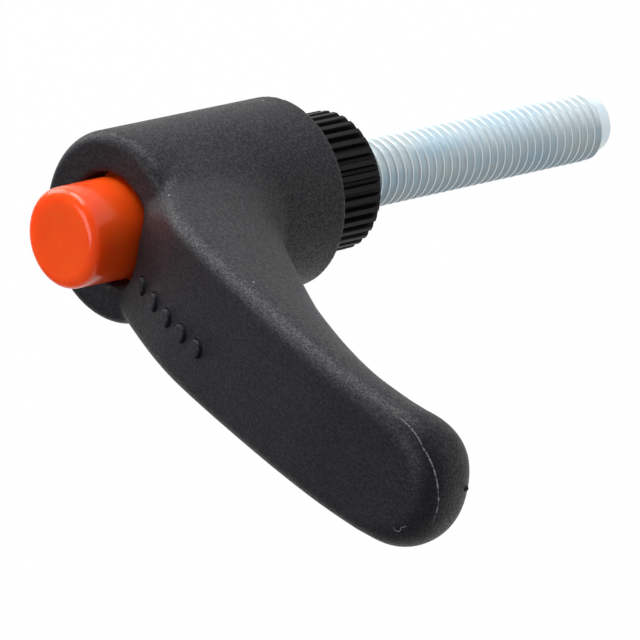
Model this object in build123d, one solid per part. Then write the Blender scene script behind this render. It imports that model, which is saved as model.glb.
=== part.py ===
"""Adjustable clamping lever with a push button and a threaded stud.

Millimetres, +Z up along the stud's axis towards the button.  The origin is the centre of
the serrated insert's seating face, the stud hangs below it and the arm reaches along +X.
"""
from build123d import *

import os
from math import cos, hypot, pi, radians, sin

# ---- threaded stud ---------------------------------------------------------------------
STUD_DIAMETER = 10.0            # thread's outside diameter
STUD_REACH = 50.3               # seating face to the stud's tip
STUD_GRIP = 13.0                # length held in the insert
STUD_GRIP_DIAMETER = 9.0
STUD_CHAMFER = 1.0              # at the last thread, beside the pilot
PILOT_DIAMETER = 7.9
PILOT_LENGTH = 2.0
PILOT_CHAMFER = 0.6
PRESS_GAP = 0.01                # modelled gap of a shank that is pressed or screwed in
DRILL_ALLOWANCE = 1.0           # hole past the end of a shank

# ---- serrated insert ---------------------------------------------------------------------
TOOTH_COUNT = 36
INSERT_CREST_RADIUS = 9.7
TOOTH_DEPTH = 0.75
TOOTH_CREST_SHARE = 0.44        # crest width over pitch
GROOVE_FLOOR_SHARE = 0.36       # groove floor width over pitch
INSERT_HEIGHT = 20.0            # seating face to the top of the teeth
INSERT_CHAMFER = 1.3
NECK_DIAMETER = 8.5
NECK_HEIGHT = 14.0              # above the teeth
NECK_CHAMFER = 0.4

# ---- retaining screw, washers and return spring ----------------------------------------
SCREW_DIAMETER = 5.0
SCREW_THREAD_LENGTH = 11.0      # below the washer
SCREW_HEAD_DIAMETER = 9.5
SCREW_HEAD_HEIGHT = 3.2
SCREW_HEAD_ROUND = 0.9
SCREW_SOCKET_FLATS = 3.0
SCREW_SOCKET_DEPTH = 1.8
WASHER_THICKNESS = 1.0
WASHER_DIAMETER = 14.0
WASHER_HOLE_CLEARANCE = 0.15    # radial
SPRING_WIRE = 0.9
SPRING_MEAN_DIAMETER = 10.8
SPRING_TURNS = 5.0
SEAT_GAP = 0.05                 # between faces that bear on each other

# ---- lever: hub ----------------------------------------------------------------------------
HUB_DIAMETER = 26.4
HUB_BOTTOM = 11.3               # rear rim's height with the teeth engaged
HUB_TOP = 43.0
HUB_TOP_ROUND = 1.9
SIDE_ROUND = 3.0                # hollow where the arm's sides leave the hub
HUB_BOTTOM_ROUND = 0.35
SKIRT_CLEARANCE = 0.3           # radial, around the insert's teeth
MESH_CLEARANCE = 0.09           # between meshing teeth
MESH_LENGTH = 3.0               # engaged length of the teeth
WEB_THICKNESS = 2.4             # between the teeth and the spring chamber
RUNNING_CLEARANCE = 0.08        # radial, at the neck and at the button's guide

# ---- lever: arm ------------------------------------------------------------------------------
ARM_REACH = 80.2                # axis to the arm's end
ARM_END_LENGTH = 9.0            # length of the rounded end
ARM_HALF_WIDTH = 10.45          # at the waist, just outside the hub
ARM_END_HALF_WIDTH = 9.2
ARM_RISE = 16.5                 # end of the arm above the hub's face
ARM_DEPTH = 11.6                # thickness at the end
ARM_ROOT_DEPTH = 22.0           # thickness at the axis
ARM_FOLD = 4.4                  # where the arm rises out of the hub's face
ARM_EDGE_DROP = 1.2             # top edge's rounding, height
ARM_EDGE_GROWTH = 1.0           # how much the rounding grows towards the arm's end
ARM_EDGE_WIDTH = 1.6            # top edge's rounding, width
FLARE_LENGTH = 5.0              # length over which the arm widens into the hub
ROOT_INSET = 0.5                # arm's root inside the hub's side
BELLY_POWER = 1.85              # squareness of the underside
END_POWER = 2.25                # squareness of the rounded end in plan
DOT_COUNT = 5                   # raised dots along the top face
DOT_DIAMETER = 2.4
DOT_HEIGHT = 0.5
DOT_PITCH = 4.38
DOT_START = 11.7                # first dot from the axis
DOT_OFFSET = -2.45              # row of dots beside the arm's middle

# ---- push button -------------------------------------------------------------------------------
BUTTON_DIAMETER = 13.8          # at the crown
BUTTON_HEIGHT = 8.7             # crown above the hub's face
BUTTON_DRAFT = 0.1              # growth in radius from the crown to the guide
BUTTON_EDGE = 0.8
BUTTON_DISH = 0.3               # depth of the crown's hollow
GUIDE_DIAMETER = 15.1
GUIDE_DEPTH = 2.5               # guide's shoulder below the hub's face
BUTTON_WALL = 1.4
POST_DIAMETER = 4.6
RIB_THICKNESS = 1.2
RIB_HEIGHT = 4.0
BEAD_HEIGHT = 0.35              # snap bead around the guide
BEAD_WIDTH = 1.0
BEAD_CLEARANCE = 0.12
BEAD_DEPTH = 1.4                # bead below the guide's shoulder
LIFT_TRAVEL = 4.0               # lever's lift, and the button's stroke in the lever
REST_GAP = 0.2                  # button's post above the screw's head

# ---- heights and radii that follow ----------------------------------------------------------------
PITCH_ANGLE = 360 / TOOTH_COUNT
INSERT_ROOT_RADIUS = INSERT_CREST_RADIUS - TOOTH_DEPTH
HUB_RADIUS = HUB_DIAMETER / 2
NECK_RADIUS = NECK_DIAMETER / 2
NECK_TOP = INSERT_HEIGHT + NECK_HEIGHT
HEAD_BOTTOM = NECK_TOP + WASHER_THICKNESS
HEAD_TOP = HEAD_BOTTOM + SCREW_HEAD_HEIGHT
MESH_BOTTOM = INSERT_HEIGHT - MESH_LENGTH
WEB_BOTTOM = INSERT_HEIGHT + SEAT_GAP
WEB_TOP = WEB_BOTTOM + WEB_THICKNESS
THRUST_WASHER_BOTTOM = WEB_TOP + SEAT_GAP
SPRING_BOTTOM = THRUST_WASHER_BOTTOM + WASHER_THICKNESS
CHAMBER_RADIUS = GUIDE_DIAMETER / 2 + RUNNING_CLEARANCE
GUIDE_TOP = HUB_TOP - GUIDE_DEPTH
BUTTON_BOTTOM = HEAD_BOTTOM + REST_GAP
BUTTON_TOP = HUB_TOP + BUTTON_HEIGHT
BEAD_TOP = GUIDE_TOP - BEAD_DEPTH
SKIRT_RADIUS = INSERT_CREST_RADIUS + SKIRT_CLEARANCE


def ring(outer, inner, bottom, top):
    """A plain ring about the axis between two heights."""
    return Pos(0, 0, bottom) * extrude(Circle(outer) - Circle(inner), top - bottom)


def disc(radius, bottom, top):
    """A plain cylinder about the axis between two heights."""
    return Pos(0, 0, bottom) * extrude(Circle(radius), top - bottom)


def turned(*points):
    """A solid turned about the axis from its half outline, given as (radius, height)."""
    outline = Plane.XZ * make_face(Polyline(*points, close=True))
    return revolve(outline, Axis.Z)


def polar(radius, angle):
    """A point in the plan from a radius and an angle in degrees."""
    return (radius * cos(radians(angle)), radius * sin(radians(angle)))


def toothed_outline(root, crest, crest_share, floor_share, turn=0.0):
    """Closed outline of straight-sided teeth that stand on a circle."""
    points = []
    for index in range(TOOTH_COUNT):
        middle = turn + index * PITCH_ANGLE
        half_crest = crest_share * PITCH_ANGLE / 2
        half_base = (1 - floor_share) * PITCH_ANGLE / 2
        points.append(polar(root, middle - half_base))
        points.append(polar(crest, middle - half_crest))
        points.append(polar(crest, middle + half_crest))
        points.append(polar(root, middle + half_base))
    return make_face(Polyline(*points, close=True))


# ---- serrated insert, stud, screw, washers and spring -------------------------------------------
def make_threaded_stud():
    """Stud with a conical shoulder and a pilot; the thread itself is left plain."""
    radius = STUD_DIAMETER / 2
    grip = STUD_GRIP_DIAMETER / 2
    pilot = PILOT_DIAMETER / 2
    shoulder = -STUD_REACH + PILOT_LENGTH
    return turned(
        (0, STUD_GRIP),
        (grip - STUD_CHAMFER / 2, STUD_GRIP),
        (grip, STUD_GRIP - STUD_CHAMFER / 2),
        (grip, radius - grip),
        (radius, 0),
        (radius, shoulder + STUD_CHAMFER),
        (pilot, shoulder),
        (pilot, -STUD_REACH + PILOT_CHAMFER),
        (pilot - PILOT_CHAMFER, -STUD_REACH),
        (0, -STUD_REACH),
    )


def make_serrated_insert():
    """Toothed body with a smooth neck, bored for the stud below and tapped for the screw above."""
    teeth = toothed_outline(INSERT_ROOT_RADIUS, INSERT_CREST_RADIUS, TOOTH_CREST_SHARE, GROOVE_FLOOR_SHARE)
    body = extrude(teeth, INSERT_HEIGHT)
    rim = INSERT_CREST_RADIUS - INSERT_CHAMFER
    blank = turned(
        (0, 0),
        (rim, 0),
        (INSERT_CREST_RADIUS + SEAT_GAP, INSERT_CHAMFER + SEAT_GAP),
        (INSERT_CREST_RADIUS + SEAT_GAP, INSERT_HEIGHT - TOOTH_DEPTH),
        (INSERT_ROOT_RADIUS, INSERT_HEIGHT),
        (0, INSERT_HEIGHT),
    )
    neck = turned(
        (0, INSERT_HEIGHT - DRILL_ALLOWANCE),
        (NECK_RADIUS, INSERT_HEIGHT - DRILL_ALLOWANCE),
        (NECK_RADIUS, NECK_TOP - NECK_CHAMFER),
        (NECK_RADIUS - NECK_CHAMFER, NECK_TOP),
        (0, NECK_TOP),
    )
    bore = STUD_GRIP_DIAMETER / 2 + PRESS_GAP
    mouth = STUD_DIAMETER / 2 + PRESS_GAP
    stud_hole = turned(
        (0, -1),
        (mouth, -1),
        (mouth, 0),
        (bore, mouth - bore),
        (bore, STUD_GRIP + DRILL_ALLOWANCE),
        (0, STUD_GRIP + DRILL_ALLOWANCE),
    )
    screw_hole_bottom = NECK_TOP + WASHER_THICKNESS - SCREW_THREAD_LENGTH - DRILL_ALLOWANCE
    screw_hole = disc(SCREW_DIAMETER / 2 + PRESS_GAP, screw_hole_bottom, NECK_TOP + 1)
    return (body & blank) + neck - stud_hole - screw_hole


def make_retaining_screw():
    """Socket-headed screw that holds the spring and the lever on the insert's neck."""
    radius = SCREW_DIAMETER / 2
    shank = disc(radius, HEAD_BOTTOM - SCREW_THREAD_LENGTH, HEAD_BOTTOM + SCREW_HEAD_ROUND)
    shank = chamfer(shank.edges().group_by(Axis.Z)[0], radius / 5)
    head = disc(SCREW_HEAD_DIAMETER / 2, HEAD_BOTTOM, HEAD_TOP)
    head = fillet(head.edges().group_by(Axis.Z)[-1], SCREW_HEAD_ROUND)
    socket_plane = Plane.XY.offset(HEAD_TOP - SCREW_SOCKET_DEPTH)
    hexagon = RegularPolygon(SCREW_SOCKET_FLATS / 2, 6, major_radius=False)
    return head + shank - extrude(socket_plane * hexagon, SCREW_SOCKET_DEPTH + 1)


def make_washer(hole_radius, bottom):
    """One plain washer on the given height."""
    washer = ring(WASHER_DIAMETER / 2, hole_radius, bottom, bottom + WASHER_THICKNESS)
    return chamfer(washer.edges(), WASHER_THICKNESS / 8)


def make_return_spring():
    """Compression spring around the neck, between the two washers."""
    wire = SPRING_WIRE / 2
    radius = SPRING_MEAN_DIAMETER / 2
    bottom = SPRING_BOTTOM + wire + SEAT_GAP
    height = NECK_TOP - SEAT_GAP - wire - bottom
    path = Pos(0, 0, bottom) * Helix(height / SPRING_TURNS, height, radius)
    section = Plane(origin=path @ 0, z_dir=path % 0) * Circle(wire)
    return sweep(section, path=path, is_frenet=True)


# ---- push button -----------------------------------------------------------------------------------
def make_push_button():
    """Cup-shaped button with a guide, a snap bead and a post that bears on the screw's head."""
    crown = BUTTON_DIAMETER / 2
    base = crown + BUTTON_DRAFT
    guide = GUIDE_DIAMETER / 2
    bead = guide + BEAD_HEIGHT
    outside = turned(
        (0, BUTTON_BOTTOM),
        (guide, BUTTON_BOTTOM),
        (guide, BEAD_TOP - BEAD_WIDTH),
        (bead, BEAD_TOP - BEAD_WIDTH * 0.6),
        (bead, BEAD_TOP),
        (guide, BEAD_TOP),
        (guide, GUIDE_TOP),
        (base, GUIDE_TOP),
        (crown, BUTTON_TOP),
        (0, BUTTON_TOP),
    )
    outside = fillet(outside.edges().group_by(Axis.Z)[-1], BUTTON_EDGE)
    dish_radius = crown - BUTTON_EDGE
    dish_sphere = (dish_radius**2 + BUTTON_DISH**2) / (2 * BUTTON_DISH)
    dish = Pos(0, 0, BUTTON_TOP - BUTTON_DISH + dish_sphere) * Sphere(dish_sphere)
    inside_radius = crown - BUTTON_WALL
    ceiling = BUTTON_TOP - BUTTON_DISH - BUTTON_WALL
    inside = disc(inside_radius, BUTTON_BOTTOM - 1, ceiling)
    post = disc(POST_DIAMETER / 2, HEAD_TOP + REST_GAP, ceiling + BUTTON_WALL / 2)
    ribs = [
        Rot(0, 0, turn) * Pos(0, 0, ceiling) * Box(2 * inside_radius + BUTTON_WALL, RIB_THICKNESS, 2 * RIB_HEIGHT)
        for turn in (0, 90)
    ]
    core = disc(inside_radius + BUTTON_WALL / 2, ceiling - RIB_HEIGHT, ceiling + BUTTON_WALL / 2)
    webs = core & (ribs[0] + ribs[1])
    return outside - dish - inside + post + webs


# ---- lever body ---------------------------------------------------------------------------------------
def smooth(points, x):
    """Value at x of a smooth curve through points of (x, value)."""
    def slope(index):
        low = points[max(index - 1, 0)]
        high = points[min(index + 1, len(points) - 1)]
        return (high[1] - low[1]) / (high[0] - low[0])

    index = 0
    while index < len(points) - 2 and x > points[index + 1][0]:
        index += 1
    (x0, y0), (x1, y1) = points[index], points[index + 1]
    span = x1 - x0
    t = (x - x0) / span
    return (
        (2 * t**3 - 3 * t**2 + 1) * y0
        + (t**3 - 2 * t**2 + t) * span * slope(index)
        + (3 * t**2 - 2 * t**3) * y1
        + (t**3 - t**2) * span * slope(index + 1)
    )


def arm_top(x):
    """Height of the arm's top face; shares of the rise over shares of the reach."""
    run = ARM_REACH - ARM_FOLD
    shares = [(-0.058, -0.18), (0, 0), (0.074, 0.18), (0.233, 0.46), (0.472, 0.733), (0.711, 0.94), (0.87, 1), (1, 0.994)]
    return HUB_TOP + ARM_RISE * smooth(shares, (x - ARM_FOLD) / run)


def arm_depth(x):
    """Thickness of the arm under its top face."""
    shares = [(0, 0), (0.07, -0.26), (0.28, 0.14), (0.51, 0.63), (0.73, 0.98), (0.88, 1.0), (1, 1.0)]
    return ARM_ROOT_DEPTH + (ARM_DEPTH - ARM_ROOT_DEPTH) * smooth(shares, x / ARM_REACH)


def arm_half_width(x):
    """Half width of the arm, flaring into the hub near the axis."""
    straight = ARM_HALF_WIDTH + (ARM_END_HALF_WIDTH - ARM_HALF_WIDTH) * max(x / ARM_REACH - 0.3, 0) / 0.7
    root = HUB_RADIUS - ROOT_INSET - ARM_HALF_WIDTH
    reach = x / FLARE_LENGTH
    return straight + root / (1 + reach**2 * (1 + reach) / 2)


def arm_section(x):
    """Closed outline of the arm across its length: crowned top, rounded edges and a full belly."""
    past = max(x - (ARM_REACH - ARM_END_LENGTH), 0) / ARM_END_LENGTH
    plan = (1 - past**END_POWER) ** (1 / END_POWER)
    height = (1 - past**2.2) ** (1 / 2.2)
    edge = (1 - (max(past - 0.4, 0) / 0.6) ** 2) ** 0.5
    half = arm_half_width(x) * plan
    top = arm_top(x)
    growth = ARM_EDGE_GROWTH * max(x / ARM_REACH - 0.3, 0) / 0.7
    seam = top - ARM_EDGE_DROP - growth
    drop = (ARM_EDGE_DROP + growth) * edge
    width = min(ARM_EDGE_WIDTH + growth, half * 0.6)
    belly = (arm_depth(x) - ARM_EDGE_DROP - growth) * height
    upper = seam + drop
    under = []
    for step in range(1, 12):
        angle = pi * step / 12
        across = half * abs(cos(angle)) ** (2 / BELLY_POWER) * (1 if step < 6 else -1)
        under.append((across if step != 6 else 0, seam - belly * sin(angle) ** (2 / BELLY_POWER)))
    plane = Plane(origin=(x, 0, 0), x_dir=(0, 1, 0), z_dir=(1, 0, 0))
    flat = Line((-(half - width), upper), (half - width, upper))
    right = EllipticalCenterArc((half - width, seam), width, drop, start_angle=0)
    left = EllipticalCenterArc((-(half - width), seam), width, drop, start_angle=90)
    bottom = Spline([(half, seam), *under, (-half, seam)], tangents=[(0, -1), (0, 1)])
    return plane * make_face([flat, right, left, bottom])


def make_arm():
    """Arm lofted from inside the hub to its rounded end."""
    end_start = ARM_REACH - ARM_END_LENGTH
    body = [end_start * share for share in (0, 0.06, 0.12, 0.2, 0.31, 0.44, 0.57, 0.71, 0.85, 1)]
    end = [end_start + ARM_END_LENGTH * sin(radians(angle)) for angle in (18, 33, 48, 60, 70, 78, 84)]
    return loft([arm_section(x) for x in body + end])


def make_dots():
    """Flat-topped dots in a row along the arm's top face, each rooted in the face."""
    dot = disc(DOT_DIAMETER / 2, -DOT_HEIGHT, DOT_HEIGHT)
    dot = chamfer(dot.edges().group_by(Axis.Z)[-1], DOT_HEIGHT / 5)
    dots = []
    for index in range(DOT_COUNT):
        x = DOT_START + index * DOT_PITCH
        slope = arm_top(x + 0.5) - arm_top(x - 0.5)
        dots.append(Plane(origin=(x, DOT_OFFSET, arm_top(x)), z_dir=(-slope, 0, 1)) * dot)
    return dots


def joins_arm_to_side(edge):
    """Whether an edge runs up the hub's side where the arm leaves it."""
    middle = edge.center()
    on_side = abs(hypot(middle.X, middle.Y) - HUB_RADIUS) < 0.6
    return on_side and middle.X > 0 and HUB_BOTTOM + 1 < middle.Z < HUB_TOP


def make_lever_body():
    """Hub and arm in one moulding, with the skirt, the teeth, the spring chamber and the button's bore."""
    hub = disc(HUB_RADIUS, HUB_BOTTOM, HUB_TOP)
    hub = fillet(hub.edges().group_by(Axis.Z)[-1], HUB_TOP_ROUND)
    hub = fillet(hub.edges().group_by(Axis.Z)[0], HUB_BOTTOM_ROUND)
    lever = hub + make_arm()
    lever = fillet(lever.edges().filter_by(joins_arm_to_side), SIDE_ROUND)
    skirt = disc(SKIRT_RADIUS, HUB_BOTTOM - 1, MESH_BOTTOM)
    teeth = toothed_outline(
        INSERT_ROOT_RADIUS + MESH_CLEARANCE,
        INSERT_CREST_RADIUS + MESH_CLEARANCE,
        TOOTH_CREST_SHARE + 2 * MESH_CLEARANCE / (radians(PITCH_ANGLE) * INSERT_CREST_RADIUS),
        GROOVE_FLOOR_SHARE - 2 * MESH_CLEARANCE / (radians(PITCH_ANGLE) * INSERT_ROOT_RADIUS),
    )
    mesh = Pos(0, 0, MESH_BOTTOM) * extrude(teeth, WEB_BOTTOM - MESH_BOTTOM)
    neck_hole = disc(NECK_RADIUS + RUNNING_CLEARANCE, WEB_BOTTOM - 1, WEB_TOP + 1)
    bore = disc(CHAMBER_RADIUS, WEB_TOP, HUB_TOP + ARM_RISE)
    bead_room = BEAD_HEIGHT - RUNNING_CLEARANCE + BEAD_CLEARANCE
    recess = disc(
        CHAMBER_RADIUS + bead_room,
        BEAD_TOP - BEAD_WIDTH - LIFT_TRAVEL - BEAD_CLEARANCE,
        BEAD_TOP + BEAD_CLEARANCE,
    )
    lever = lever - skirt - mesh - neck_hole - bore - recess
    for dot in make_dots():
        lever = lever + dot
    return lever


def main():
    """Write one STEP file for each piece."""
    parts = {
        "threaded_stud": make_threaded_stud(),
        "serrated_insert": make_serrated_insert(),
        "retaining_screw": make_retaining_screw(),
        "retaining_washer": make_washer(SCREW_DIAMETER / 2 + WASHER_HOLE_CLEARANCE, NECK_TOP),
        "thrust_washer": make_washer(NECK_RADIUS + WASHER_HOLE_CLEARANCE, THRUST_WASHER_BOTTOM),
        "return_spring": make_return_spring(),
        "push_button": make_push_button(),
        "lever_body": make_lever_body(),
    }
    os.makedirs("parts", exist_ok=True)
    for name, shape in parts.items():
        export_step(shape, f"parts/{name}.step")


main()
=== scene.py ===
"""Looks of an adjustable clamping lever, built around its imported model.

Every mesh is worked out in millimetres in the row frame and stored in metres.
"""

import logging
import math
from dataclasses import dataclass, field
from enum import Enum
from typing import Callable, Mapping, Optional, Sequence, Union

import bmesh
import bpy
import numpy as np
from mathutils import Matrix, Vector


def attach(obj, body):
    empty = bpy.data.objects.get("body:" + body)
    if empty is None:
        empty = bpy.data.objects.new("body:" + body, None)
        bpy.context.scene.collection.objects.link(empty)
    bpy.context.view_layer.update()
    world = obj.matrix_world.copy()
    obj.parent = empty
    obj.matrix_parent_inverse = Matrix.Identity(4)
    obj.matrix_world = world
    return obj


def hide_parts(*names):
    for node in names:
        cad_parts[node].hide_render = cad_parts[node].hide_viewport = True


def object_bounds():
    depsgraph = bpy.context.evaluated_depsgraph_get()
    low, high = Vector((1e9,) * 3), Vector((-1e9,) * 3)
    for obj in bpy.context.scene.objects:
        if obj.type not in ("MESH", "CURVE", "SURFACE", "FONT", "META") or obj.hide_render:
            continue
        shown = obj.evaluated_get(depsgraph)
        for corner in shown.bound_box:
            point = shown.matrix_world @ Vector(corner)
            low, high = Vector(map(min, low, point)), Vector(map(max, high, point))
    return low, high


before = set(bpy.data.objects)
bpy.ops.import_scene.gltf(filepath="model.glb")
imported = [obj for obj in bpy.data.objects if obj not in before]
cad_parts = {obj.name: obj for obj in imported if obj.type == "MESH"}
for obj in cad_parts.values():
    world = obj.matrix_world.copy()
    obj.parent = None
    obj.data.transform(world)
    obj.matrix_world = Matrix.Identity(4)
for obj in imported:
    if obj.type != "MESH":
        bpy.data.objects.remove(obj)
CAD_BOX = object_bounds()

MM = 0.001
MERGE_DISTANCE = 1e-7
LOG = logging.getLogger("clamping_lever")
Field = Callable[[np.ndarray, np.ndarray, np.ndarray], np.ndarray]
Grid = tuple[np.ndarray, list]
Span = tuple[float, float]


class Body(Enum):
    """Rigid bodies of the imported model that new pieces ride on."""

    BASE = "base"
    LEVER = "lever"
    BUTTON = "button"


class Slot(Enum):
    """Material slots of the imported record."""

    ZINC = "zinc_plated_steel"
    BLACK_STEEL = "black_oxide_steel"
    ORANGE = "orange_plastic"
    CHARCOAL = "black_plastic"


# ---- shader building -------------------------------------------------------------------------


class Signal:
    """A shader socket that can be used in arithmetic."""

    def __init__(self, tree: "ShaderTree", socket: bpy.types.NodeSocket) -> None:
        """Wrap a socket of a tree.

        Args:
            tree: Tree that the socket belongs to.
            socket: Output socket to wrap.
        """
        self.tree = tree
        self.socket = socket

    def _maths(self, operation: str, first: "Value", second: "Value") -> "Signal":
        """Add one Math node.

        Args:
            operation: Name of the Math node's operation.
            first: First operand.
            second: Second operand.

        Returns:
            The node's result.
        """
        return self.tree.node("ShaderNodeMath", {"operation": operation}, {0: first, 1: second})

    def __add__(self, other: "Value") -> "Signal":
        """Sum with another value."""
        return self._maths("ADD", self, other)

    def __radd__(self, other: "Value") -> "Signal":
        """Sum with a number on the left."""
        return self._maths("ADD", other, self)

    def __sub__(self, other: "Value") -> "Signal":
        """Difference from another value."""
        return self._maths("SUBTRACT", self, other)

    def __rsub__(self, other: "Value") -> "Signal":
        """Difference of a number on the left."""
        return self._maths("SUBTRACT", other, self)

    def __mul__(self, other: "Value") -> "Signal":
        """Product with another value."""
        return self._maths("MULTIPLY", self, other)

    def __rmul__(self, other: "Value") -> "Signal":
        """Product with a number on the left."""
        return self._maths("MULTIPLY", other, self)

    def __pow__(self, other: "Value") -> "Signal":
        """Power of the value."""
        return self._maths("POWER", self, other)

    def __rpow__(self, other: "Value") -> "Signal":
        """Power of a number on the left."""
        return self._maths("POWER", other, self)

    def below(self, level: float) -> "Signal":
        """One where the value is less than a level, zero elsewhere."""
        return self._maths("LESS_THAN", self, level)


Value = Union[Signal, float]
Colour = tuple[float, float, float]


class ShaderTree:
    """Builds the node tree of one material or of the world."""

    def __init__(self, owner: Union[bpy.types.Material, bpy.types.World]) -> None:
        """Start with an empty tree.

        Args:
            owner: New material or world that the tree belongs to.
        """
        owner.use_nodes = True
        self.owner = owner
        self.tree = owner.node_tree
        self.tree.nodes.clear()

    def node(
        self,
        kind: str,
        settings: Optional[Mapping[str, object]] = None,
        inputs: Optional[Mapping[Union[str, int], object]] = None,
        output: Union[str, int] = 0,
    ) -> Signal:
        """Add any node.

        Args:
            kind: Type name of the node.
            settings: Values of the node's own properties, set before its sockets.
            inputs: Numbers, colours or signals for its input sockets.
            output: Name or place of the output socket to return.

        Returns:
            The chosen output socket.
        """
        made = self.tree.nodes.new(kind)
        for key, value in (settings or {}).items():
            if key == "stops":
                self._set_stops(made.color_ramp, value)
            else:
                setattr(made, key, value)
        for key, value in (inputs or {}).items():
            if isinstance(value, Signal):
                self.tree.links.new(value.socket, made.inputs[key])
            else:
                made.inputs[key].default_value = value
        return Signal(self, made.outputs[output])

    @staticmethod
    def _set_stops(ramp: bpy.types.ColorRamp, stops: Sequence[tuple[float, float]]) -> None:
        """Set a ramp's grey stops.

        Args:
            ramp: Ramp to change.
            stops: Pairs of place and grey level.
        """
        while len(ramp.elements) < len(stops):
            ramp.elements.new(0.5)
        for element, (place, level) in zip(ramp.elements, stops):
            element.position = place
            element.color = (level, level, level, 1)

    def place(self) -> Signal:
        """Position in the row frame, in metres."""
        return self.node("ShaderNodeTexCoord", output="Object")

    def axis(self, vector: Signal, name: str) -> Signal:
        """One component of a vector."""
        return self.node("ShaderNodeSeparateXYZ", inputs={0: vector}, output=name)

    def stretch(self, vector: Signal, scale: Colour) -> Signal:
        """A vector multiplied by a scale along each axis."""
        return self.node("ShaderNodeVectorMath", {"operation": "MULTIPLY"}, {0: vector, 1: scale})

    def noise(
        self, vector: Signal, grain_mm: float, detail: float = 2.0, roughness: float = 0.5
    ) -> Signal:
        """Soft noise about one half.

        Args:
            vector: Position to sample at.
            grain_mm: Size of one grain, in millimetres.
            detail: Octaves of finer noise.
            roughness: Share of each finer octave.

        Returns:
            A value from 0 to 1.
        """
        scale = 1 / (grain_mm * MM)
        inputs = {"Vector": vector, "Scale": scale, "Detail": detail, "Roughness": roughness}
        return self.node("ShaderNodeTexNoise", inputs=inputs)

    def ramp(self, value: Signal, stops: Sequence[tuple[float, float]]) -> Signal:
        """A value sent through a grey ramp."""
        return self.node("ShaderNodeValToRGB", {"stops": stops}, {0: value})

    def mix(self, factor: Value, first: object, second: object) -> Signal:
        """Mix of two colours.

        Args:
            factor: Share of the second colour.
            first: Colour or signal at factor 0.
            second: Colour or signal at factor 1.

        Returns:
            The mixed colour.
        """
        return self.node(
            "ShaderNodeMix",
            {"data_type": "RGBA"},
            {0: factor, 6: self._rgba(first), 7: self._rgba(second)},
            output=2,
        )

    @staticmethod
    def _rgba(value: object) -> object:
        """A colour with its alpha, or the signal itself."""
        return value if isinstance(value, Signal) else (*value, 1.0)

    def bump(
        self, height: Signal, depth_mm: float, strength: float, under: Optional[Signal] = None
    ) -> Signal:
        """Normal bent by a height.

        Args:
            height: Height from 0 to 1.
            depth_mm: Depth that a height of 1 stands for, in millimetres.
            strength: Share of the bend that is kept.
            under: Normal that this bend is added to.

        Returns:
            The bent normal.
        """
        inputs = {"Height": height, "Distance": depth_mm * MM, "Strength": strength}
        if under is not None:
            inputs["Normal"] = under
        return self.node("ShaderNodeBump", inputs=inputs)

    def surface(self, inputs: Mapping[str, object]) -> bpy.types.Material:
        """Close the tree with a Principled surface.

        Args:
            inputs: Values and signals for the surface's sockets.

        Returns:
            The finished material.
        """
        return self.close(self.node("ShaderNodeBsdfPrincipled", inputs=inputs))

    def close(
        self, shader: Signal, kind: str = "ShaderNodeOutputMaterial"
    ) -> Union[bpy.types.Material, bpy.types.World]:
        """Send a shader to the tree's output.

        Args:
            shader: Shader to show.
            kind: Type name of the output node.

        Returns:
            The finished material or world.
        """
        made = self.tree.nodes.new(kind)
        self.tree.links.new(shader.socket, made.inputs["Surface"])
        return self.owner


# ---- finishes ----------------------------------------------------------------------------------


@dataclass(frozen=True)
class CharcoalPlastic:
    """Matt glass-filled plastic with a fine moulded grain."""

    name: str = "charcoal_plastic"
    colour: Colour = (0.0080, 0.0074, 0.0102)
    pale: Colour = (0.0120, 0.0113, 0.0145)
    shine: float = 0.17
    gloss: float = 0.55
    grain_mm: float = 0.30
    grain_depth_mm: float = 0.11
    roughness: float = 0.52
    roughness_spread: float = 0.10
    cloud_mm: float = 9.0
    fibre_mm: float = 0.9
    fibre_stretch: Colour = (1.0, 2.4, 2.4)
    wave_mm: float = 4.0
    wave_depth_mm: float = 0.05
    coat_roughness: float = 0.5
    speck_colour: Colour = (0.32, 0.32, 0.33)
    speck_spacing_mm: float = 5.2
    speck_size: float = 0.026

    def material(self) -> bpy.types.Material:
        """Build the material.

        Returns:
            The finished material.
        """
        tree = ShaderTree(bpy.data.materials.new(self.name))
        place = tree.place()
        clouds = tree.noise(place, self.cloud_mm, 3.0)
        grain = tree.noise(place, self.grain_mm, 2.0, 0.6)
        fibre = tree.noise(tree.stretch(place, self.fibre_stretch), self.fibre_mm, 3.0, 0.55)
        shade = tree.ramp(clouds * 0.6 + fibre * 0.4, [(0.32, 0.0), (0.68, 1.0)])
        base = tree.mix(shade, self.colour, self.pale)
        # pale specks at random places over the surface
        spread = {"Vector": place, "Scale": 1 / (self.speck_spacing_mm * MM)}
        cell = tree.node("ShaderNodeTexVoronoi", inputs=spread, output="Distance")
        base = tree.mix(cell.below(self.speck_size), base, self.speck_colour)
        rough = self.roughness + (grain - 0.5) * self.roughness_spread + (clouds - 0.5) * 0.08
        waviness = tree.bump(tree.noise(place, self.wave_mm, 2.0), self.wave_depth_mm, 0.25)
        normal = tree.bump(grain, self.grain_depth_mm, 0.9, waviness)
        coat = tree.ramp(grain * 0.7 + fibre * 0.3, [(0.44, 0.0), (0.60, self.gloss)])
        return tree.surface(
            {
                "Base Color": base,
                "Roughness": rough,
                "Specular IOR Level": self.shine,
                "Coat Weight": coat,
                "Coat Roughness": self.coat_roughness,
                "Normal": normal,
            }
        )


# paler plastic: whitened wear on the scratch, and a painted highlight on the parting flash's thin fin
WHITENED_AND_HIGHLIT_PLASTIC = CharcoalPlastic(
    name="whitened_and_highlit_plastic", colour=(0.090, 0.090, 0.096), pale=(0.26, 0.26, 0.27)
)


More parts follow.
